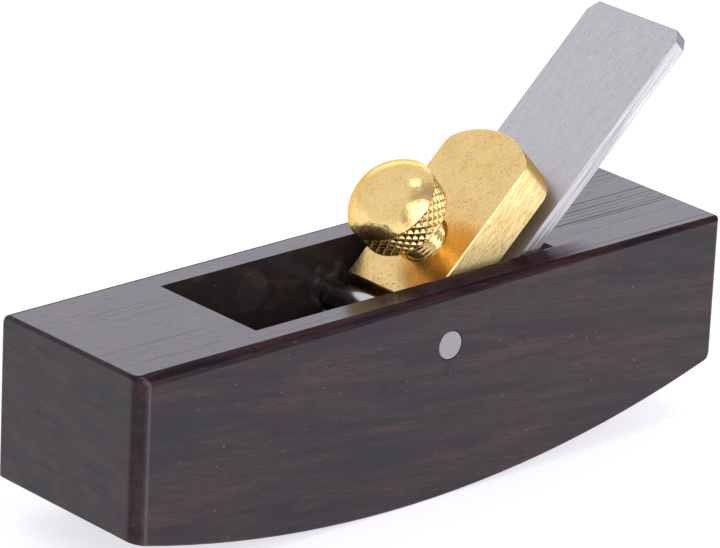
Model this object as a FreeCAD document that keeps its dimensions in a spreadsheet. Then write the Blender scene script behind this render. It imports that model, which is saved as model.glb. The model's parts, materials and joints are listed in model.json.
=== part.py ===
import FreeCAD, Part
import os
import re
import sys
import Sketcher
from FreeCAD import Placement, Rotation, Vector
from math import asin, atan2, cos, radians, sin, sqrt

# A small wooden-bodied hand plane with a boat-shaped sole.
#
# Frame: millimetres, +X from toe to heel, +Z up, origin under the middle of the body at the height of the
# sole's lowest line. The iron, the lever cap and the thumb screw are drawn lying down in the bed's own frame
# and turned up onto the bed by their placements: X up the slope from where the iron's front face passes the
# top of the body, Z out of that face.

SIZES = [
    # the wooden body
    ("body_length", 100.0),
    ("body_width", 27.5),
    ("body_height", 28.4),
    ("sole_radius", 178.0),
    ("sole_centre", -3.0),
    ("top_edge_round_toe", 1.4),
    ("top_edge_round_heel", 0.7),
    ("end_edge_round", 0.5),
    ("corner_round", 0.8),
    ("toe_corner_round", 2.0),
    ("sole_edge_round", 0.4),
    ("heel_sole_round", 1.5),
    # the throat and its bed
    ("throat_width", 18.7),
    ("throat_toe_top", -27.8),
    ("throat_toe_sole", -13.2),
    ("bed_angle", 42.6),
    ("iron_crossing", 18.6),
    ("bed_gap", 0.02),
    ("bed_relief", 1.5),
    # the cross pin
    ("pin_radius", 2.0),
    ("pin_station", 1.62),
    ("pin_depth", 7.35),
    ("pin_hole_gap", 0.03),
    ("pin_end_chamfer", 0.15),
    # the iron
    ("iron_width", 16.8),
    ("iron_thickness", 2.3),
    ("iron_top", 37.0),
    ("iron_edge", -41.7),
    ("iron_clip_across", 1.0),
    ("iron_clip_along", 1.6),
    ("iron_bevel", 28.0),
    # the lever cap
    ("cap_width", 15.2),
    ("cap_back", 1.6),
    ("cap_front", 7.7),
    ("cap_crown", 11.5),
    ("cap_crown_radius", 10.5),
    ("cap_shoulder_radius", 3.0),
    ("cap_edge_round", 0.2),
    ("cap_nose", -30.0),
    ("cap_nose_thickness", 0.8),
    ("cap_nose_gap", 0.02),
    ("cap_nose_flat", 2.0),
    ("cap_heel_of_nose", -21.0),
    ("cap_lip", -20.3),
    ("cap_lip_height", 7.2),
    ("slot_wall", -14.6),
    ("slot_corner", 1.0),
    ("slot_gap", 0.03),
    # the thumb screw
    ("screw_station", -6.25),
    ("screw_radius", 3.1),
    ("screw_gap", 0.05),
    ("countersink", 0.5),
    ("tip_gap", 0.02),
    ("tip_round", 2.4),
    ("head_bottom", 4.9),
    ("head_bottom_radius", 6.15),
    ("head_top", 9.0),
    ("head_top_radius", 6.35),
    ("dome_centre", 5.5),
    ("head_edge_round", 0.3),
    # how far a cut runs on past the surfaces it opens
    ("overrun", 4.0),
]
size = dict(SIZES)
UP = Vector(0, 0, 1)
NEAR = 1e-3

doc = FreeCAD.newDocument("hand_plane")
sheet = doc.addObject("Spreadsheet::Sheet", "Sizes")
for row, (alias, number) in enumerate(SIZES, start=1):
    sheet.set(f"A{row}", alias)
    sheet.set(f"B{row}", str(number))
    sheet.setAlias(f"B{row}", alias)
doc.recompute()


def bound(expression):
    """The expression with each size's name pointed at its cell in the sheet."""
    return re.sub(r"[a-z_]+", lambda name: f"Sizes.{name[0]}" if name[0] in size else name[0], expression)


def new_body(label):
    body = doc.addObject("PartDesign::Body", label)
    body.Label = label
    return body


def new_sketch(body, name, role, lift=None):
    """A sketch on one of the body's origin planes, lifted off it by an expression where one is given."""
    plane = next(feature for feature in body.Origin.OriginFeatures if feature.Role == role)
    sketch = body.newObject("Sketcher::SketchObject", name)
    sketch.AttachmentSupport = [(plane, "")]
    sketch.MapMode = "FlatFace"
    if lift:
        sketch.setExpression("AttachmentOffset.Base.z", bound(lift))
    return sketch


def fix_point(sketch, edge, end, across, up):
    """Bind one end of an edge, or its centre, to distances from the sketch's origin given as expressions."""
    point = sketch.getPoint(edge, end)
    for kind, now, expression in (("DistanceX", point.x, across), ("DistanceY", point.y, up)):
        index = sketch.addConstraint(Sketcher.Constraint(kind, -1, 1, edge, end, now))
        sketch.setExpression(f"Constraints[{index}]", bound(expression))


def fix_radius(sketch, edge, expression):
    now = sketch.Geometry[edge].Radius
    index = sketch.addConstraint(Sketcher.Constraint("Radius", edge, now))
    sketch.setExpression(f"Constraints[{index}]", bound(expression))


def join(sketch, edges):
    """Add the edges, joining the end of each to the start of the next and the last to the first."""
    sketch.addGeometry(edges, False)
    for k in range(len(edges)):
        sketch.addConstraint(Sketcher.Constraint("Coincident", k, 2, (k + 1) % len(edges), 1))


def polygon(sketch, corners):
    """A closed outline of straight lines, each corner bound to a pair of expressions.

    It starts as a regular polygon, large enough to solve well, and each corner is then pulled to its place.
    """
    count = len(corners)
    turns = [radians(360 * k / count) for k in range(count)]
    rough = [Vector(10 * cos(turn), 10 * sin(turn), 0) for turn in turns]
    join(sketch, [Part.LineSegment(rough[k], rough[(k + 1) % count]) for k in range(count)])
    for k, (across, up) in enumerate(corners):
        fix_point(sketch, k, 1, across, up)


def circle(sketch, across, up, radius):
    """A circle alone in its sketch, its centre and radius bound to expressions."""
    sketch.addGeometry(Part.Circle(Vector(1, 1, 0), UP, 1), False)
    fix_point(sketch, 0, 3, across, up)
    fix_radius(sketch, 0, radius)


def pad(body, sketch, length, both_ways=False):
    feature = body.newObject("PartDesign::Pad", sketch.Name + "_pad")
    feature.Profile = sketch
    feature.Midplane = both_ways
    feature.setExpression("Length", bound(length))
    doc.recompute()


def pocket(body, sketch, width):
    """Cut the sketch out of the body, half of the width to each side of its plane, and see that it cut."""
    before = body.Shape.Volume
    feature = body.newObject("PartDesign::Pocket", sketch.Name + "_pocket")
    feature.Profile = sketch
    feature.Midplane = True
    feature.setExpression("Length", bound(width))
    doc.recompute()
    if body.Shape.Volume > before - NEAR:
        sys.exit(f"{feature.Name} cut nothing")


def dress(body, kind, name, wanted, expression):
    """A fillet or chamfer on every edge of the body's tip that wanted says yes to."""
    base = body.Tip
    names = [f"Edge{n}" for n, edge in enumerate(base.Shape.Edges, start=1) if wanted(edge)]
    if not names:
        sys.exit(f"{name} found no edge")
    feature = body.newObject("PartDesign::" + kind, name)
    feature.Base = (base, names)
    feature.setExpression("Radius" if kind == "Fillet" else "Size", bound(expression))
    doc.recompute()


def at(edge, axis, where):
    """Do both ends of the edge lie where the coordinate along the axis has this value?"""
    return all(abs(getattr(vertex.Point, axis) - where) < NEAR for vertex in edge.Vertexes)


def is_rim(edge, radius, height):
    """Is the edge a whole circle of this radius at this height?"""
    if edge.Degenerated or not isinstance(edge.Curve, Part.Circle):
        return False
    return edge.isClosed() and abs(edge.Curve.Radius - radius) < NEAR and at(edge, "z", height)


def straight_along(edge, axis):
    """Is the edge a straight line along this axis?"""
    if edge.Degenerated or not isinstance(edge.Curve, Part.Line):
        return False
    return abs(getattr(edge.Curve.Direction, axis)) > 1 - NEAR**2


def lay_on_bed(body, station="0"):
    """Turn a piece up onto the bed, with its origin at a station up the slope from the iron's crossing."""
    body.Placement = Placement(Vector(), Rotation(Vector(0, -1, 0), size["bed_angle"]))
    body.setExpression("Placement.Rotation.Angle", bound("bed_angle * 1 deg"))
    body.setExpression("Placement.Base.x", bound(f"iron_crossing + ({station}) * cos(bed_angle * 1 deg)"))
    body.setExpression("Placement.Base.z", bound(f"body_height + ({station}) * sin(bed_angle * 1 deg)"))


# ---- the wooden body: a block with a sole that is one long arc, the throat cut through it on a slope, and
# a hole across both cheeks for the pin

block = new_body("plane_body_block")
profile = new_sketch(block, "body_profile", "XZ_Plane")
half = size["body_length"] / 2
top = size["body_height"]
reach = size["sole_radius"]
middle = size["sole_centre"]


def sole_height(x):
    """How high the sole's arc stands at a station along the body."""
    return reach - sqrt(reach**2 - (x - middle) ** 2)


toe = sole_height(-half)
heel = sole_height(half)
start = atan2(toe - reach, -half - middle)
stop = atan2(heel - reach, half - middle)
join(
    profile,
    [
        Part.LineSegment(Vector(-half, top, 0), Vector(-half, toe, 0)),
        Part.ArcOfCircle(Part.Circle(Vector(middle, reach, 0), UP, reach), start, stop),
        Part.LineSegment(Vector(half, heel, 0), Vector(half, top, 0)),
        Part.LineSegment(Vector(half, top, 0), Vector(-half, top, 0)),
    ],
)
profile.addConstraint(Sketcher.Constraint("Vertical", 0))
profile.addConstraint(Sketcher.Constraint("Vertical", 2))
fix_point(profile, 0, 1, "-body_length / 2", "body_height")
fix_point(profile, 3, 1, "body_length / 2", "body_height")
fix_point(profile, 1, 3, "sole_centre", "sole_radius")
fix_radius(profile, 1, "sole_radius")
pad(block, profile, "body_width", both_ways=True)

# The toe wall and the bed run on past the top and the sole along their own slopes, so the cut is clean.
throat = new_sketch(block, "throat", "XZ_Plane")
toe_lean = "(throat_toe_sole - throat_toe_top) / body_height"
bed_top = "(iron_crossing + (iron_thickness + bed_gap) / sin(bed_angle * 1 deg))"
bed_run = "/ tan(bed_angle * 1 deg)"
polygon(
    throat,
    [
        (f"throat_toe_top - overrun * {toe_lean}", "body_height + overrun"),
        (f"throat_toe_sole + overrun * {toe_lean}", "-overrun"),
        (f"{bed_top} - (body_height + overrun) {bed_run}", "-overrun"),
        (f"{bed_top} - bed_relief {bed_run}", "body_height - bed_relief"),
        (f"{bed_top} + bed_relief", "body_height"),
        (f"{bed_top} + bed_relief + overrun", "body_height + overrun"),
    ],
)
pocket(block, throat, "throat_width")

pin_hole = new_sketch(block, "pin_hole", "XZ_Plane")
circle(pin_hole, "pin_station", "body_height - pin_depth", "pin_radius + pin_hole_gap")
pocket(block, pin_hole, "body_width + overrun")

# The outer edges are eased by hand: the long top edges more at the toe than at the heel, so their radius
# tapers, and the corner at the toe on the near side most of all. A tapering radius has no expression, so
# these radii are read from the sheet's numbers here.
plane_body = doc.addObject("Part::Fillet", "plane_body")
plane_body.Label = "plane_body"
plane_body.Base = block
side = size["body_width"] / 2


def easing(edge):
    """The radii at the two ends of an outer edge of the block, or nothing for any other edge."""
    first = edge.valueAt(edge.FirstParameter)
    last = edge.valueAt(edge.LastParameter)
    on_side = abs(abs(first.y) - side) < NEAR and abs(abs(last.y) - side) < NEAR
    on_end = abs(abs(first.x) - half) < NEAR and abs(abs(last.x) - half) < NEAR
    on_top = at(edge, "z", top)
    if on_side and on_end and straight_along(edge, "z"):
        near_toe = first.x < 0 and first.y < 0
        return 2 * [size["toe_corner_round" if near_toe else "corner_round"]]
    if on_side and on_top and straight_along(edge, "x"):
        names = ["top_edge_round_toe", "top_edge_round_heel"]
        return [size[name] for name in (names if first.x < last.x else reversed(names))]
    if on_end and on_top and straight_along(edge, "y"):
        return 2 * [size["end_edge_round"]]
    if on_end and straight_along(edge, "y"):
        return 2 * [size["heel_sole_round" if first.x > 0 else "sole_edge_round"]]
    if on_side and on_end:
        return 2 * [size["sole_edge_round"]]
    return []


eased = [(number, *easing(edge)) for number, edge in enumerate(block.Shape.Edges, start=1)]
plane_body.Edges = [entry for entry in eased if len(entry) > 1]
doc.recompute()

# ---- the cross pin: a plain steel rod through both cheeks, flush with them, its end corners just broken

rod = doc.addObject("Part::Cylinder", "cross_pin_rod")
rod.Placement.Rotation = Rotation(Vector(-1, 0, 0), 90)
rod.setExpression("Radius", bound("pin_radius"))
rod.setExpression("Height", bound("body_width"))
rod.setExpression("Placement.Base.x", bound("pin_station"))
rod.setExpression("Placement.Base.y", bound("-body_width / 2"))
rod.setExpression("Placement.Base.z", bound("body_height - pin_depth"))
doc.recompute()
cross_pin = doc.addObject("Part::Chamfer", "cross_pin")
cross_pin.Label = "cross_pin"
cross_pin.Base = rod
rims = [n for n, edge in enumerate(rod.Shape.Edges, start=1) if isinstance(edge.Curve, Part.Circle)]
cross_pin.Edges = [(n, size["pin_end_chamfer"], size["pin_end_chamfer"]) for n in rims]

# ---- the iron: a flat steel blade, its top corners clipped and its bevel ground on the bed side

iron = new_body("iron")
blade = new_sketch(iron, "blade", "XY_Plane", lift="-iron_thickness")
polygon(
    blade,
    [
        ("iron_edge", "-iron_width / 2"),
        ("iron_top - iron_clip_along", "-iron_width / 2"),
        ("iron_top", "-iron_width / 2 + iron_clip_across"),
        ("iron_top", "iron_width / 2 - iron_clip_across"),
        ("iron_top - iron_clip_along", "iron_width / 2"),
        ("iron_edge", "iron_width / 2"),
    ],
)
pad(iron, blade, "iron_thickness")
bevel = new_sketch(iron, "bevel", "XZ_Plane")
bevel_end = "iron_edge + iron_thickness / tan(iron_bevel * 1 deg)"
polygon(
    bevel,
    [
        ("iron_edge - overrun", "overrun * tan(iron_bevel * 1 deg)"),
        ("iron_edge - overrun", "-iron_thickness - overrun"),
        (bevel_end, "-iron_thickness - overrun"),
        (bevel_end, "-iron_thickness"),
    ],
)
pocket(iron, bevel, "iron_width + overrun")
lay_on_bed(iron)

# ---- the lever cap: a brass bar with a crowned top end, a slot that hooks under the pin and a nose that
# tapers down onto the iron

lever_cap = new_body("lever_cap")
outline = new_sketch(lever_cap, "outline", "XY_Plane", lift="cap_nose_gap")
wide = size["cap_width"] / 2
nose = size["cap_nose"]
crown_centre = size["cap_crown"] - size["cap_crown_radius"]
crown_turn = asin(wide / size["cap_crown_radius"])
shoulder = crown_centre + size["cap_crown_radius"] * cos(crown_turn)
crown = Part.Circle(Vector(crown_centre, 0, 0), UP, size["cap_crown_radius"])
join(
    outline,
    [
        Part.LineSegment(Vector(nose, wide, 0), Vector(nose, -wide, 0)),
        Part.LineSegment(Vector(nose, -wide, 0), Vector(shoulder, -wide, 0)),
        Part.ArcOfCircle(crown, -crown_turn, crown_turn),
        Part.LineSegment(Vector(shoulder, wide, 0), Vector(nose, wide, 0)),
    ],
)
outline.addConstraint(Sketcher.Constraint("Horizontal", 1))
outline.addConstraint(Sketcher.Constraint("Horizontal", 3))
fix_point(outline, 0, 1, "cap_nose", "cap_width / 2")
fix_point(outline, 1, 1, "cap_nose", "-cap_width / 2")
fix_point(outline, 2, 3, "cap_crown - cap_crown_radius", "0")
fix_radius(outline, 2, "cap_crown_radius")
pad(lever_cap, outline, "cap_front - cap_nose_gap")

# The slot's floor lies just under the pin, and the lip in front of it keeps the cap from sliding off.
front_cut = new_sketch(lever_cap, "front_cut", "XZ_Plane")
pin_out = "(iron_crossing - pin_station) * sin(bed_angle * 1 deg) - pin_depth * cos(bed_angle * 1 deg)"
slot_floor = f"{pin_out} - pin_radius - slot_gap"
polygon(
    front_cut,
    [
        ("slot_wall", "cap_front + overrun"),
        ("slot_wall", slot_floor),
        ("cap_lip", slot_floor),
        ("cap_lip", "cap_lip_height"),
        ("cap_nose - overrun", "cap_nose_thickness"),
        ("cap_nose - overrun", "cap_front + overrun"),
    ],
)
pocket(lever_cap, front_cut, "cap_width + overrun")

# The back stands clear of the iron, so only the nose and the tip of the screw bear on it.
back_cut = new_sketch(lever_cap, "back_cut", "XZ_Plane")
polygon(
    back_cut,
    [
        ("cap_crown + overrun", "-overrun"),
        ("cap_crown + overrun", "cap_back"),
        ("cap_heel_of_nose", "cap_back"),
        ("cap_nose + cap_nose_flat", "cap_nose_gap"),
        ("cap_nose + cap_nose_flat", "-overrun"),
    ],
)
pocket(lever_cap, back_cut, "cap_width + overrun")

front = size["cap_front"]


def on_shoulder(edge):
    return straight_along(edge, "z") and at(edge, "x", shoulder)


def in_slot_corner(edge):
    """Is the edge one of the two at the bottom of the slot?"""
    in_slot = at(edge, "x", size["slot_wall"]) or at(edge, "x", size["cap_lip"])
    return in_slot and straight_along(edge, "y") and edge.Vertexes[0].Z < size["cap_lip_height"] - NEAR


def on_front(edge):
    """Does the edge border the front face, or lie along the top of the lip?"""
    return at(edge, "z", front) or straight_along(edge, "y") and at(edge, "z", size["cap_lip_height"])


dress(lever_cap, "Fillet", "shoulders", on_shoulder, "cap_shoulder_radius")
dress(lever_cap, "Fillet", "slot_corners", in_slot_corner, "slot_corner")
dress(lever_cap, "Fillet", "front_edges", on_front, "cap_edge_round")
screw_hole = new_sketch(lever_cap, "screw_hole", "XY_Plane", lift="cap_front")
circle(screw_hole, "screw_station", "0", "screw_radius + screw_gap")
pocket(lever_cap, screw_hole, "2 * cap_front + overrun")
bore = size["screw_radius"] + size["screw_gap"]
dress(lever_cap, "Chamfer", "hole_countersink", lambda edge: is_rim(edge, bore, front), "countersink")
lay_on_bed(lever_cap)

# ---- the thumb screw: one turned piece, a threaded shank under a domed head with a knurled band

thumb_screw = new_body("thumb_screw")
turning = new_sketch(thumb_screw, "turning", "XZ_Plane")
tip = size["tip_gap"]
under = front + size["head_bottom"]
dome_centre = front + size["dome_centre"]
band_top = Vector(size["head_top_radius"], front + size["head_top"], 0)
dome_radius = sqrt(band_top.x**2 + (band_top.y - dome_centre) ** 2)
dome = Part.Circle(Vector(0, dome_centre, 0), UP, dome_radius)
corners = [
    Vector(0, tip, 0),
    Vector(size["screw_radius"], tip, 0),
    Vector(size["screw_radius"], under, 0),
    Vector(size["head_bottom_radius"], under, 0),
    band_top,
]
lines = [Part.LineSegment(first, second) for first, second in zip(corners, corners[1:])]
skirt = atan2(band_top.y - dome_centre, band_top.x)
over_top = Part.ArcOfCircle(dome, skirt, radians(90))
axis = Part.LineSegment(Vector(0, dome_centre + dome_radius, 0), corners[0])
join(turning, [*lines, over_top, axis])
turning.addConstraint(Sketcher.Constraint("Vertical", 5))
fix_point(turning, 0, 1, "0", "tip_gap")
fix_point(turning, 1, 1, "screw_radius", "tip_gap")
fix_point(turning, 2, 1, "screw_radius", "cap_front + head_bottom")
fix_point(turning, 3, 1, "head_bottom_radius", "cap_front + head_bottom")
fix_point(turning, 4, 1, "head_top_radius", "cap_front + head_top")
fix_point(turning, 4, 3, "0", "cap_front + dome_centre")
turned = thumb_screw.newObject("PartDesign::Revolution", "turned")
turned.Profile = turning
turned.ReferenceAxis = (turning, ["V_Axis"])
turned.Angle = 360
doc.recompute()
dress(thumb_screw, "Fillet", "tip", lambda edge: is_rim(edge, size["screw_radius"], tip), "tip_round")
rim = size["head_bottom_radius"]
dress(thumb_screw, "Fillet", "head_edge", lambda edge: is_rim(edge, rim, under), "head_edge_round")
lay_on_bed(thumb_screw, "screw_station")
doc.recompute()

# ---- check every object, then write each piece

for thing in doc.Objects:
    if {"Invalid", "Error"} & set(thing.State):
        sys.exit(f"{thing.Label} failed: {thing.State}")
os.makedirs("parts", exist_ok=True)
for piece in (plane_body, cross_pin, iron, lever_cap, thumb_screw):
    shape = piece.Shape
    if shape.isNull() or not shape.isValid() or len(shape.Solids) != 1:
        sys.exit(f"{piece.Label} is not one valid solid")
    box = shape.optimalBoundingBox()
    print(
        f"{piece.Label}: {shape.Volume:.1f} mm3, "
        f"x {box.XMin:.2f} {box.XMax:.2f}, y {box.YMin:.2f} {box.YMax:.2f}, z {box.ZMin:.2f} {box.ZMax:.2f}"
    )
    shape.exportStep(f"parts/{piece.Label}.step")
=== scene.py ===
import json

import bpy
import numpy as np
from mathutils import Matrix, Vector


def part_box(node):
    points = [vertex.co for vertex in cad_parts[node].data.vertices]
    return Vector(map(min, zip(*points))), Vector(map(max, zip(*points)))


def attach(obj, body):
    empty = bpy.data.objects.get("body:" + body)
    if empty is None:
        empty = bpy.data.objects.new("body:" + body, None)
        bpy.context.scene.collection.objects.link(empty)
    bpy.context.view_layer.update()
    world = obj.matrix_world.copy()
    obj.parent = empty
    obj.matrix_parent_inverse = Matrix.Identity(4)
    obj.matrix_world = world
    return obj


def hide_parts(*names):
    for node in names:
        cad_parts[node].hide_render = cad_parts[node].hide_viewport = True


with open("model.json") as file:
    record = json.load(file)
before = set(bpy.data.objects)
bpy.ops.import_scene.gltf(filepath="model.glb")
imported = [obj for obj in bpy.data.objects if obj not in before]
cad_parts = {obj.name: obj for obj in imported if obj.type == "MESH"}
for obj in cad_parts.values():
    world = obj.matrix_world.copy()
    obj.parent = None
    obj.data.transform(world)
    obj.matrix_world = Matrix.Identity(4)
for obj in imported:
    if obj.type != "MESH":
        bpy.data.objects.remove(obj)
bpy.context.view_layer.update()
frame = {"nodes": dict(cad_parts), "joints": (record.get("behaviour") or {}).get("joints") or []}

# ---- the wooden body
# A block of ebony, sawn with its grain running from toe to heel, planed, its edges eased by hand and the
# whole rubbed with oil. The throat is chopped and filed, so its walls are rougher than the outside.

MM = 0.001
nodes = frame["nodes"]


class Wire:
    """A socket of a material. Arithmetic on it adds Math nodes, and node() adds any other kind."""

    def __init__(self, tree, socket=None):
        self.tree = tree
        self.socket = socket

    def node(self, kind, settings, sockets, output=0):
        """Add a node, with its settings made first and then its sockets given numbers or wires."""
        made = self.tree.nodes.new("ShaderNode" + kind)
        for name, setting in settings.items():
            setattr(made, name, setting)
        for name, value in sockets.items():
            if isinstance(value, Wire):
                self.tree.links.new(value.socket, made.inputs[name])
            else:
                made.inputs[name].default_value = value
        return Wire(self.tree, made.outputs[output])

    def maths(self, operation, *values):
        """Add a Math node of this operation, with the values in its sockets in order."""
        return self.node("Math", {"operation": operation}, dict(enumerate(values)))

    def __add__(self, other):
        return self.maths("ADD", self, other)

    def __sub__(self, other):
        return self.maths("SUBTRACT", self, other)

    def __rsub__(self, other):
        return self.maths("SUBTRACT", other, self)

    def __mul__(self, other):
        return self.maths("MULTIPLY", self, other)

    def __abs__(self):
        return self.maths("ABSOLUTE", self)

    __radd__ = __add__
    __rmul__ = __mul__


def finish(name, **constants):
    """A new material: its first wire, its shader with these sockets set, and the material itself."""
    material = bpy.data.materials.new(name)
    material.use_nodes = True
    shader = material.node_tree.nodes["Principled BSDF"]
    for socket, value in constants.items():
        shader.inputs[socket.replace("_", " ")].default_value = value
    return Wire(material.node_tree), shader, material


def feed(shader, **wires):
    """Link wires to the shader's sockets."""
    for socket, wire in wires.items():
        wire.tree.links.new(wire.socket, shader.inputs[socket.replace("_", " ")])


def millimetres(wire):
    """The place on the object, in millimetres."""
    place = wire.node("TexCoord", {}, {}, "Object")
    return place.node("VectorMath", {"operation": "SCALE"}, {"Vector": place, "Scale": 1.0 / MM})


def component(vector, axis):
    """The part of a vector that lies along X, Y or Z."""
    return vector.node("SeparateXYZ", {}, {"Vector": vector}, axis)


def stretched(place, scale, turn=(0.0, 0.0, 0.0)):
    """The place turned and then multiplied along each axis, for a pattern that is longer one way."""
    turned = place.node("Mapping", {}, {"Vector": place, "Rotation": turn})
    return turned.node("Mapping", {}, {"Vector": turned, "Scale": scale})


def noise(place, detail=3.0, scale=1.0, distortion=0.0):
    """Soft noise from 0 to 1, with this many finer layers and cells about 1 / scale wide."""
    sockets = {"Vector": place, "Scale": scale, "Detail": detail, "Distortion": distortion}
    return place.node("TexNoise", {}, sockets)


def between(wire, low, high):
    """0 below the low value, 1 above the high one, smooth in between."""
    settings = {"interpolation_type": "SMOOTHSTEP"}
    return wire.node("MapRange", settings, {"Value": wire, "From Min": low, "From Max": high})


def below(wire, low, high):
    """1 below the low value, 0 above the high one, smooth in between."""
    return 1.0 - between(wire, low, high)


def mixed(mask, first, second):
    """The first colour where the mask is 0, and the second where it is 1."""
    return mask.node("Mix", {"data_type": "RGBA"}, {0: mask, 6: first, 7: second}, 2)


def specks(place, spacing, radius, share):
    """Round spots of this radius: one at most in each cell of this spacing, and in this share of cells."""
    settings = {"feature": "F1"}
    sockets = {"Vector": place, "Scale": 1.0 / spacing}
    distance = place.node("TexVoronoi", settings, sockets)
    choice = place.node("TexVoronoi", settings, sockets, "Color")
    picked = choice.node("SeparateColor", {}, {"Color": choice})
    near = below(distance, 0.6 * radius / spacing, 1.4 * radius / spacing)
    return near * below(picked, share, share + 0.01)


def bump(height, distance):
    """A normal from a height: distance is how tall a height of 1 stands, in metres."""
    return height.node("Bump", {}, {"Height": height, "Distance": distance, "Strength": 1.0})


def dress(name, material):
    """Give a CAD node its material."""
    nodes[name].data.materials.clear()
    nodes[name].data.materials.append(material)


EBONY_BLACK = (0.0085, 0.0056, 0.0112, 1.0)
EBONY_BROWN = (0.0235, 0.0112, 0.0172, 1.0)
EBONY_RED = (0.048, 0.0200, 0.0175, 1.0)
# The next colour is a painted highlight, for a pale line along the near toe corner.
CORNER_HIGHLIGHT_PAINT = (0.075, 0.056, 0.062, 1.0)
PORE_BLACK = (0.0015, 0.0010, 0.0012, 1.0)
CHOPPED = (0.026, 0.0215, 0.0215, 1.0)
CHOPPED_RED = (0.066, 0.040, 0.038, 1.0)
DUST = (0.22, 0.19, 0.20, 1.0)
MILLED = (0.075, 0.058, 0.056, 1.0)
TORN = (0.085, 0.077, 0.075, 1.0)
GRAIN_LEAN = (0.0, np.radians(-7.0), 0.0)

# Where each mark is on the body, in millimetres: a pair of numbers says where it starts to fade in or out and
# where it has finished. A centre is an x and a z, and an edge is a pair of squared distances from it.
THROAT_WIDTH = (9.36, 9.42)
THROAT_HEIGHT = (28.3, 28.39)
THROAT_LENGTH = (45.0, 46.0)
LINES_FULL = (8.0, 24.0)
RUBBED_FROM = (-7.0, -2.0)
RUBBED_TO = (20.0, 30.0)
RUBBED_NEAR = (-9.7, -9.2)
CORNER_LENGTH = (-49.0, -46.0)
CORNER_WIDTH = (-11.0, -9.0)
FAR_CHEEK = (9.0, 9.2)
MILL_CENTRE = (-12.2, 24.2)
MILL_EDGE = (6.0, 8.4)
TORN_CENTRE = (1.2, 22.4)
TORN_EDGE = (7.0, 16.0)


def turned_to(wire, axis):
    """How far the surface looks along an axis: the part of its normal on the axis, from -1 to 1."""
    return component(wire.node("NewGeometry", {}, {}, "Normal"), axis)


def facing(wire, axis):
    """1 on the faces that look along the axis either way, and 0 on the others."""
    return between(abs(turned_to(wire, axis)), 0.80, 0.95)


wire, shader, ebony = finish("oiled_ebony", Specular_IOR_Level=0.0, Coat_Roughness=0.20, Coat_IOR=1.5)
place = millimetres(wire)
x, y, z = (component(place, axis) for axis in "XYZ")


def squared_from(centre):
    """The squared distance from a centre, looking along the cross pin."""
    return (x - centre[0]) * (x - centre[0]) + (z - centre[1]) * (z - centre[1])


on_top = facing(wire, "Z")
on_end = facing(wire, "X")
in_throat = below(abs(y), *THROAT_WIDTH) * (1.0 - on_top) * below(z, *THROAT_HEIGHT)
in_throat = in_throat * below(abs(x), *THROAT_LENGTH)
leaning = stretched(place, (1.0, 1.0, 1.0), GRAIN_LEAN)
figure = noise(stretched(leaning, (0.035, 0.36, 0.36)), detail=3.0, distortion=0.5)
streak = between(noise(stretched(leaning, (0.06, 0.55, 0.55)), detail=6.0, distortion=0.4), 0.42, 0.76)
fibre = noise(stretched(leaning, (0.45, 5.5, 5.5)), detail=5.0)
line = noise(stretched(place, (0.016, 2.6, 0.5)), detail=5.0)
break_up = between(noise(stretched(place, (0.16, 1.8, 1.0)), detail=2.0), 0.40, 0.52)
towards_heel = between(x, *LINES_FULL)
unbroken = towards_heel + 0.35 * break_up * (1.0 - towards_heel)
grain_lines = between(line, 0.575, 0.625) * on_top * unbroken
pore = between(noise(stretched(place, (0.35, 5.0, 5.0)), detail=2.0), 0.62, 0.70) * (0.18 + 0.40 * on_top)
end_line = between(noise(stretched(place, (1.0, 0.10, 3.6)), detail=5.0), 0.50, 0.68) * on_end * 0.30
end_figure = between(noise(stretched(place, (1.0, 0.22, 0.35)), detail=5.0), 0.46, 0.66) * on_end * 0.5
dark = grain_lines.maths("MAXIMUM", grain_lines.maths("MAXIMUM", grain_lines, pore), end_line)
dust = specks(place, spacing=1.7, radius=0.070, share=0.80)
dust = (dust + specks(place, spacing=3.1, radius=0.095, share=0.45)) * (1.0 - 0.7 * on_end)
toe_turn = turned_to(wire, "X") * -1.0
top_turn = turned_to(wire, "Z")
eased = between(top_turn, 0.04, 0.20) * below(top_turn, 0.988, 0.998) * (1.0 - in_throat)
eased = eased * (1.0 - 0.7 * between(toe_turn, 0.15, 0.40))
edge_patch = between(noise(stretched(place, (0.13, 0.9, 0.9)), detail=5.0), 0.42, 0.62)
rubbed = on_top * between(x, *RUBBED_FROM) * below(x, *RUBBED_TO) * below(y, *RUBBED_NEAR)
near_toe = below(x, *CORNER_LENGTH) * below(y, *CORNER_WIDTH) * (1.0 - on_top)
corner_dark = near_toe * between(toe_turn, 0.36, 0.55) * below(toe_turn, 0.960, 0.999)
# A pale line on the near toe corner, just off the side face, is a painted highlight; the band beside it
# towards the toe loses its coat and so looks darker.
corner_highlight_paint = near_toe * between(toe_turn, 0.06, 0.14) * below(toe_turn, 0.22, 0.36) * 0.8
blotch = between(noise(stretched(place, (0.30, 0.6, 0.6)), detail=6.0), 0.48, 0.72)
on_far_cheek = between(y, *FAR_CHEEK) * in_throat
mill_mark = below(squared_from(MILL_CENTRE), *MILL_EDGE) * on_far_cheek
ragged = between(noise(place, detail=8.0, scale=0.9), 0.46, 0.72)
torn = below(squared_from(TORN_CENTRE), *TORN_EDGE) * ragged * on_far_cheek
chopped = mixed(blotch * 0.55 * (1.0 - mill_mark), CHOPPED, CHOPPED_RED)
chopped = mixed(mill_mark * (0.25 + 0.75 * blotch), chopped, MILLED)
chopped = mixed(torn, chopped, TORN)
colour = mixed(between(figure, 0.40, 0.60) * (1.0 - 0.5 * on_end), EBONY_BLACK, EBONY_BROWN)
colour = mixed(streak * 0.80 * (1.0 - 0.85 * on_end), colour, EBONY_RED)
colour = mixed(end_figure, colour, EBONY_RED)
colour = mixed(between(fibre, 0.44, 0.62) * 0.42, colour, PORE_BLACK)
colour = mixed(dark, colour, PORE_BLACK)
colour = mixed(eased * edge_patch * 0.35, colour, EBONY_RED)
colour = mixed(corner_dark * edge_patch * 0.30, colour, EBONY_RED)
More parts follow.
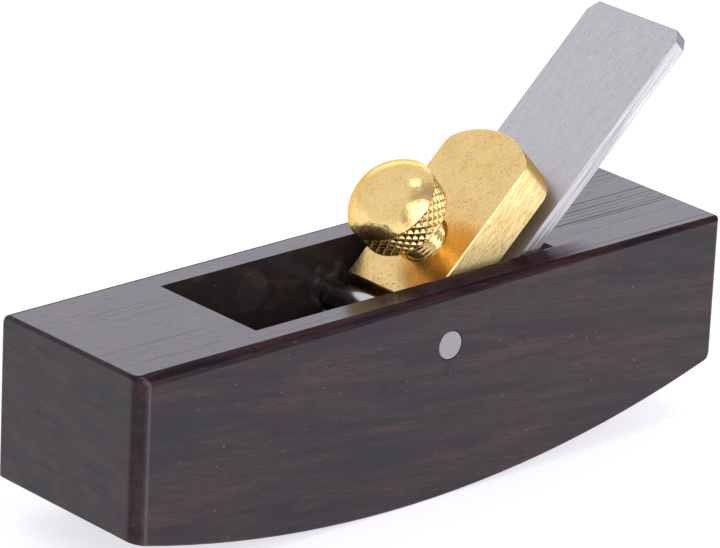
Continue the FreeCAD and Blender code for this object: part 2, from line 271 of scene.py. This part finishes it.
colour = mixed(corner_highlight_paint, colour, CORNER_HIGHLIGHT_PAINT)
colour = mixed(in_throat, colour, chopped)
colour = mixed(dust, colour, DUST)
worn_off = 0.74 * eased + 0.48 * corner_dark * (1.0 - eased) + 0.85 * rubbed
worn_off = worn_off + in_throat * (0.75 + 0.25 * blotch)
feed(
    shader,
    Base_Color=colour,
    Roughness=0.45 + 0.2 * fibre + 0.3 * dark,
    Coat_Weight=(0.98 - 0.18 * fibre - 0.50 * dark) * (1.0 - worn_off),
    Normal=bump(fibre * 0.6 - dark + blotch * in_throat * 4.0, 0.012 * MM),
)
dress("plane_body", ebony)

# ---- the cross pin
# A 4 mm rod of bright steel, driven through both cheeks and filed flush with them, so its ends are satin and
# the length that crosses the throat is still polished.


def mesh_piece(name, points, faces, material):
    """A smooth-shaded piece from its points, in metres, and its faces, with one material."""
    mesh = bpy.data.meshes.new(name)
    mesh.from_pydata(points, [], faces)
    mesh.polygons.foreach_set("use_smooth", [True] * len(mesh.polygons))
    mesh.materials.append(material)
    mesh.update()
    piece = bpy.data.objects.new(name, mesh)
    bpy.context.scene.collection.objects.link(piece)
    return piece


def turned(radius, height, origin, up, across):
    """Points and faces of a turned piece, closed with one point at each end of its axis.

    radius and height are arrays of one row for each step up the profile and one column for each step round
    it. A point stands at origin + height * up + radius * (cos turn * across + sin turn * up x across).
    """
    rows, steps = radius.shape
    turn = np.linspace(0.0, 2.0 * np.pi, steps, endpoint=False)
    sideways = np.cross(up, across)
    outward = np.cos(turn)[:, None] * across + np.sin(turn)[:, None] * sideways
    ring = origin + height[..., None] * up + radius[..., None] * outward
    ends = origin + np.array([height[0].mean(), height[-1].mean()])[:, None] * up
    points = np.concatenate([ring.reshape(-1, 3), ends])
    here = np.arange(steps)
    there = (here + 1) % steps
    low = np.arange(rows - 1)[:, None] * steps
    quads = np.stack([low + here, low + there, low + steps + there, low + steps + here], axis=-1)
    bottom = np.stack([there, here, np.full(steps, rows * steps)], axis=-1)
    last = (rows - 1) * steps
    cover = np.stack([last + here, last + there, np.full(steps, rows * steps + 1)], axis=-1)
    faces = quads.reshape(-1, 4).tolist() + bottom.tolist() + cover.tolist()
    return points.tolist(), faces


STEEL = (0.60, 0.595, 0.60, 1.0)
STEEL_DULL = (0.33, 0.325, 0.335, 1.0)
PIN_CHAMFER = 0.15 * MM
PIN_INNER_RING = 0.5 * MM
PIN_POLISHED = 0.4
PIN_FILED = 0.05
PIN_STEPS = 96

wire, shader, pin_steel = finish("pin_steel", Metallic=1.0)
place = millimetres(wire)
pin_low, pin_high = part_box("cross_pin")
pin_half = pin_high[1] / MM
at_end = between(abs(component(place, "Y")), pin_half - PIN_POLISHED, pin_half - PIN_FILED)
file_marks = noise(stretched(place, (0.4, 1.0, 5.0), (0.0, 0.5, 0.0)), detail=3.0)
smear = noise(place, detail=4.0, scale=0.9)
feed(
    shader,
    Base_Color=mixed(at_end, STEEL, STEEL_DULL),
    Roughness=0.07 + 0.16 * smear + 0.28 * at_end,
    Normal=bump(file_marks * at_end, 0.01 * MM),
)
pin_radius = (pin_high[0] - pin_low[0]) / 2
pin_length = pin_high[1] - pin_low[1]
pin_face = pin_radius - PIN_CHAMFER
profile_radius = np.array([PIN_INNER_RING, pin_face, pin_radius, pin_radius, pin_face, PIN_INNER_RING])
profile_height = np.array([0.0, 0.0, PIN_CHAMFER, pin_length - PIN_CHAMFER, pin_length, pin_length])
pin = mesh_piece(
    "pin",
    *turned(
        np.repeat(profile_radius[:, None], PIN_STEPS, axis=1),
        np.repeat(profile_height[:, None], PIN_STEPS, axis=1),
        np.array([(pin_low[0] + pin_high[0]) / 2, pin_low[1], (pin_low[2] + pin_high[2]) / 2]),
        np.array([0.0, 1.0, 0.0]),
        np.array([1.0, 0.0, 0.0]),
    ),
    pin_steel,
)
pin.data.set_sharp_from_angle(angle=0.6)
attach(pin, "plane_body")
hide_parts("cross_pin")

# ---- the iron
# A flat blade of tool steel, ground and then rubbed lengthwise, with brighter and coarser lines along its
# narrow sides and a few pits left in its face. The rounded corners between its face and sides are painted
# darker, as painted shade.

slide = next(joint for joint in frame["joints"] if joint["name"] == "iron_slide")
along_bed = np.array(slide["axis"])
bed_angle = float(np.arctan2(along_bed[2], along_bed[0]))
on_bed = (0.0, bed_angle, 0.0)
IRON_FACE = (0.66, 0.655, 0.68, 1.0)
IRON_EDGE = (0.72, 0.72, 0.735, 1.0)
IRON_DARK = (0.40, 0.39, 0.405, 1.0)
# The next colour serves for the lines along the narrow sides, and as painted shade on the rounded corners.
IRON_LINE_AND_SHADE = (0.33, 0.325, 0.33, 1.0)
IRON_PIT = (0.16, 0.15, 0.15, 1.0)
RUST_HEIGHT = (42.0, 49.0)

wire, shader, iron_steel = finish("ground_steel", Metallic=1.0)
place = millimetres(wire)
on_side = facing(wire, "Y")
lines = noise(stretched(place, (0.50, 8.0, 8.0), on_bed), detail=5.0)
side_lines = between(noise(stretched(place, (0.10, 1.0, 8.0), on_bed), detail=5.0), 0.38, 0.64)
salt = between(noise(place, detail=2.0, scale=5.0), 0.35, 0.65)
cloud = noise(place, detail=4.0, scale=0.25)
rusted = between(component(place, "Z"), *RUST_HEIGHT)
rusted = rusted * between(noise(place, detail=3.0, scale=0.35), 0.42, 0.58)
pits = specks(place, spacing=1.4, radius=0.10, share=0.14)
pits = pits + specks(place, spacing=0.50, radius=0.085, share=0.04 + 0.40 * rusted)
side_turn = abs(turned_to(wire, "Y"))
# The rounded corners between the face and the sides get painted shade.
corner_painted_shade = between(side_turn, 0.25, 0.40) * below(side_turn, 0.85, 0.95)
colour = mixed((between(lines, 0.32, 0.68) * 0.26 + salt * 0.30) * (1.0 - on_side), IRON_FACE, IRON_DARK)
colour = mixed(on_side * (1.0 - 0.9 * side_lines), colour, IRON_EDGE)
colour = mixed(side_lines * on_side * 0.8, colour, IRON_LINE_AND_SHADE)
colour = mixed(corner_painted_shade * 0.85, colour, IRON_LINE_AND_SHADE)
colour = mixed(pits * 0.65 * (1.0 - on_side), colour, IRON_PIT)
feed(
    shader,
    Base_Color=colour,
    Roughness=0.34 + 0.10 * cloud + 0.08 * lines,
    Normal=bump((lines + 0.7 * salt) * (1.0 - on_side) + side_lines * on_side - pits, 0.012 * MM),
)
dress("iron", iron_steel)

# ---- the lever cap
# A brass bar, sawn and filed to shape: a crowned top end, a slot that hooks under the pin and a tapered nose.
# Its faces are rubbed lengthwise to a satin finish, with fine pits and light scratches left in them. Its
# sides and a thin line along the long edges of its front are painted paler, as painted highlights.

BRASS = (0.99, 0.735, 0.325, 1.0)
BRASS_RIM = (0.78, 0.62, 0.34, 1.0)
BRASS_DEEP = (0.76, 0.52, 0.18, 1.0)
# The next colour is a painted highlight, used on the side faces and along the long edges of the front.
BRASS_PAINTED_HIGHLIGHT = (1.0, 0.89, 0.53, 1.0)
BRASS_PIT = (0.32, 0.16, 0.045, 1.0)
half_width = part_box("lever_cap")[1][1] / MM


def brass(name, roughness, texture, ripple, mottle, pit_share, side_filing_and_highlight=0.0):
    """Brass of this roughness, with fine marks and a slow unevenness of these heights in millimetres.

    mottle is how far its tone varies and pit_share is the share of its cells that have a pit in them.
    The last argument makes the two faces along the sides rougher than the rest, as filing across them does,
    and paints them paler as a painted highlight, and paints a pale highlight line along the long edges of the
    front.
    """
    wire, shader, material = finish(name, Metallic=1.0, Specular_Tint=BRASS_RIM)
    place = millimetres(wire)
    rub = noise(stretched(place, (1.3, 6.5, 6.5), on_bed), detail=5.0)
    strokes = between(noise(stretched(place, (0.55, 2.6, 3.2), on_bed), detail=6.0), 0.40, 0.62)
    grain = noise(place, detail=3.0, scale=5.0)
    cloud = noise(place, detail=3.0, scale=0.35)
    pits = specks(place, spacing=0.62, radius=0.09, share=pit_share)
    wander = noise(place, detail=1.0, scale=0.9, distortion=1.2) - 0.5
    hair = below(abs(wander), 0.003, 0.014) * between(cloud, 0.44, 0.58)
    side_face = facing(wire, "Y")
    on_side = side_face * side_filing_and_highlight
    # A pale line along the long edges of the front is a painted highlight.
    edge_highlight = between(abs(component(place, "Y")), half_width - 0.30, half_width - 0.06)
    edge_highlight = edge_highlight * (1.0 - side_face) * side_filing_and_highlight
    tone = between(cloud * 0.15 + rub * 0.45 + grain * 0.40, 0.40, 0.60)
    colour = mixed(tone * mottle, BRASS, BRASS_DEEP)
    # The side faces are painted paler as a painted highlight, broken by darker file strokes.
    colour = mixed(on_side * (0.85 - 0.75 * strokes), colour, BRASS_PAINTED_HIGHLIGHT)
    colour = mixed(edge_highlight * 0.9, colour, BRASS_PAINTED_HIGHLIGHT)
    colour = mixed(pits * 0.75 + hair * 0.5, colour, BRASS_PIT)
    marks = (rub + grain * 0.8 - pits * 1.5 - hair * 0.8) * (1.0 + on_side) + strokes * on_side
    feed(
        shader,
        Base_Color=colour,
        Roughness=roughness + 0.06 * cloud + 0.08 * rub + 0.41 * on_side + 0.16 * edge_highlight,
        Normal=bump(marks * texture + cloud * ripple, MM),
    )
    return material


satin_brass = brass(
    "satin_brass", roughness=0.16, texture=0.018, ripple=0.01, mottle=0.65, pit_share=0.55, side_filing_and_highlight=1.0
)
dress("lever_cap", satin_brass)

# ---- the thumb screw
# Turned from brass rod in one piece: a threaded shank, a knurled band rolled in with a diamond wheel, and a
# dome left bright from polishing.


def reach(node, direction):
    """The lowest and the highest that a CAD node reaches along a direction, in metres."""
    corners = np.empty(3 * len(node.data.vertices))
    node.data.vertices.foreach_get("co", corners)
    along = corners.reshape(-1, 3) @ np.array(direction)
    return along.min(), along.max()


travel = next(joint for joint in frame["joints"] if joint["name"] == "screw_travel")
screw_up = np.array(travel["axis"]) / np.linalg.norm(travel["axis"])
screw_across = np.array([0.0, -1.0, 0.0])
screw_side = np.cross(screw_up, screw_across)
screw_node = nodes["thumb_screw"]
screw_foot = reach(screw_node, screw_up)[0]
side_middle = sum(reach(screw_node, screw_side)) / 2
across_middle = sum(reach(screw_node, screw_across)) / 2
screw_origin = screw_foot * screw_up + side_middle * screw_side + across_middle * screw_across

# The screw's measures, in millimetres: heights are from the tip of the shank, and widths are radii.
SHANK = 3.1
TIP_ROUND = 2.4
TIP_CROWN = 0.02
TIP_INNER_RING = 0.1
THREAD_PITCH = 0.68
THREAD_DEPTH = 0.34
THREAD_ROW = 0.075
THREAD_RUN_IN = 0.8
THREAD_RUN_OUT = 0.4
NECK = 0.5
NECK_START = 9.0
NECK_THREAD = 0.6
ROW_GAP = 0.05
HEAD_BOTTOM = 12.58
HEAD_TOP = 16.68
BAND_BOTTOM_RADIUS = 6.15
BAND_TOP_RADIUS = 6.35
DOME_CENTRE = 13.18
HEAD_EDGE = 0.3
KNURL_COUNT = 30
KNURL_DEPTH = 0.28
KNURL_LEAN = 0.95
KNURL_RUN_IN = 0.25
KNURL_RUN_OUT = 0.3
AROUND = 360


def ridge(phase, sharpness):
    """A row of ridges, 1 at each whole number of the phase, 0 half way between, raised to a power."""
    return np.abs(2.0 * (phase % 1.0) - 1.0) ** sharpness


def quarter(count):
    """Angles from 0 to a right angle, evenly spaced."""
    return np.linspace(0.0, np.pi / 2, count)


def ramp(distance, length):
    """0 up to a distance of 0, 1 from the length on, and straight in between."""
    return np.clip(distance / length, 0, 1)


round_part = np.linspace(0.0, 1.0, AROUND, endpoint=False)
tip_height = np.append(0.0, TIP_CROWN + TIP_ROUND * (1.0 - np.cos(quarter(10))))
tip_radius = np.append(TIP_INNER_RING, SHANK - TIP_ROUND + TIP_ROUND * np.sin(quarter(10)))
shank_height = np.arange(TIP_ROUND + ROW_GAP, HEAD_BOTTOM - ROW_GAP, THREAD_ROW)
fade = ramp(shank_height - TIP_ROUND, THREAD_RUN_IN) * ramp(HEAD_BOTTOM - NECK - shank_height, THREAD_RUN_OUT)
fade = np.maximum(fade, NECK_THREAD * (shank_height > NECK_START))
groove = 1.0 - ridge(shank_height[:, None] / THREAD_PITCH - round_part, 1.0)
shank_radius = SHANK - THREAD_DEPTH * groove * fade[:, None]
under_radius = np.linspace(SHANK, BAND_BOTTOM_RADIUS - HEAD_EDGE, 8)
under_height = np.full(8, HEAD_BOTTOM)
edge_radius = BAND_BOTTOM_RADIUS - HEAD_EDGE * (1.0 - np.sin(quarter(5)[1:]))
edge_height = HEAD_BOTTOM + HEAD_EDGE * (1.0 - np.cos(quarter(5)[1:]))
band_height = np.linspace(HEAD_BOTTOM + HEAD_EDGE, HEAD_TOP, 50)[1:]
up_band = (band_height - HEAD_BOTTOM) / (HEAD_TOP - HEAD_BOTTOM)
slope = BAND_BOTTOM_RADIUS + (BAND_TOP_RADIUS - BAND_BOTTOM_RADIUS) * up_band
lean = band_height[:, None] * KNURL_LEAN * KNURL_COUNT / (2.0 * np.pi * BAND_TOP_RADIUS)
knurl_phase = KNURL_COUNT * round_part
crossed = np.maximum(ridge(knurl_phase + lean, 2.0), ridge(knurl_phase - lean, 2.0))
fade = ramp(band_height - HEAD_BOTTOM - HEAD_EDGE, KNURL_RUN_IN) * ramp(HEAD_TOP - band_height, KNURL_RUN_OUT)
band_radius = slope[:, None] - KNURL_DEPTH * (1.0 - crossed) * fade[:, None]
dome_radius = np.hypot(BAND_TOP_RADIUS, HEAD_TOP - DOME_CENTRE)
skirt = np.arcsin((HEAD_TOP - DOME_CENTRE) / dome_radius)
over = skirt + (np.pi / 2 - skirt) * np.linspace(0.0, 1.0, 48)[1:-1]
dome_row_radius = dome_radius * np.cos(over)
dome_row_height = DOME_CENTRE + dome_radius * np.sin(over)


def plain(values):
    """A profile repeated at every step round the axis."""
    return np.repeat(np.asarray(values)[:, None], AROUND, axis=1)


under_head = np.append(under_radius, edge_radius)
radius = [plain(tip_radius), shank_radius, plain(under_head), band_radius, plain(dome_row_radius)]
height = [tip_height, shank_height, under_height, edge_height, band_height, dome_row_height]
radius, height = np.concatenate(radius), plain(np.concatenate(height))
screw = mesh_piece(
    "screw",
    *turned(radius * MM, height * MM, screw_origin, screw_up, screw_across),
    brass("polished_brass", roughness=0.15, texture=0.003, ripple=0.16, mottle=0.6, pit_share=0.10),
)
screw.data.set_sharp_from_angle(angle=0.9)
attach(screw, "thumb_screw")
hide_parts("thumb_screw")

# ---- the place it stands
# A pale floor in a soft white tent, with a glow low down behind the object, a dimmer gap in the tent over its
# front, and three broad lamps.

bpy.ops.mesh.primitive_plane_add(size=30.0)
floor = bpy.context.object
floor.name = "floor"
wire, shader, paper = finish("white_floor", Base_Color=(0.5, 0.5, 0.5, 1.0), Roughness=0.9)
shader.inputs["Emission Color"].default_value = (0.99, 0.975, 1.02, 1.0)
shader.inputs["Emission Strength"].default_value = 0.67
floor.data.materials.append(paper)

world = bpy.data.worlds.new("tent")
bpy.context.scene.world = world
world.use_nodes = True
background = world.node_tree.nodes["Background"]
direction = Wire(world.node_tree).node("TexCoord", {}, {}, "Generated")


def towards(axis):
    """How closely the direction points along a unit axis, from -1 to 1."""
    return direction.node("VectorMath", {"operation": "DOT_PRODUCT"}, {0: direction, 1: axis}, "Value")


TENT = (0.865, 0.85, 0.90, 1.0)
GAP = (0.42, 0.40, 0.42, 1.0)
GLOW = (2.0, 1.95, 2.2, 1.0)
BACK = (0.677, 0.736, 0.0)
FRONT = (0.349, -0.937, 0.0)
rise = towards((0.0, 0.0, 1.0))
sky = mixed(between(towards(FRONT), 0.36, 0.44), TENT, GAP)
low_down = between(rise, 0.06, 0.20) * below(rise, 0.38, 0.62)
sky = mixed(between(towards(BACK), 0.78, 0.93) * low_down, sky, GLOW)
world.node_tree.links.new(sky.socket, background.inputs["Color"])


def lamp(name, way, distance, size, radiance):
    """A square lamp that faces the object from a direction, as bright to look at as its radiance says."""
    light = bpy.data.lights.new(name, "AREA")
    light.size = size
    light.energy = radiance * np.pi * size**2
    place = Vector(way).normalized() * distance
    shade = bpy.data.objects.new(name, light)
    bpy.context.scene.collection.objects.link(shade)
    shade.location = place
    shade.rotation_euler = place.to_track_quat("Z", "Y").to_euler()


lamp("overhead", way=(0.28, -0.15, 0.95), distance=0.8, size=0.20, radiance=1.6)
lamp("front", way=(-0.08, -0.88, 0.42), distance=0.8, size=0.62, radiance=2.0)
lamp("side", way=(0.36, -0.88, 0.26), distance=0.9, size=0.50, radiance=2.4)

camera = bpy.data.objects.new("camera", bpy.data.cameras.new("camera"))
bpy.context.scene.collection.objects.link(camera)
bpy.context.scene.camera = camera
camera.data.sensor_width = 36.0
camera.data.lens = 269.75
camera.data.clip_start = 0.05
right = Vector((0.74680, -0.66360, 0.04405))
up = Vector((0.20725, 0.29516, 0.93271))
aim = Matrix((right, up, right.cross(up))).transposed().to_4x4()
camera.matrix_world = Matrix.Translation((-0.4413, -0.4778, 0.2761)) @ aim

view = bpy.context.scene.view_settings
view.view_transform = "Standard"
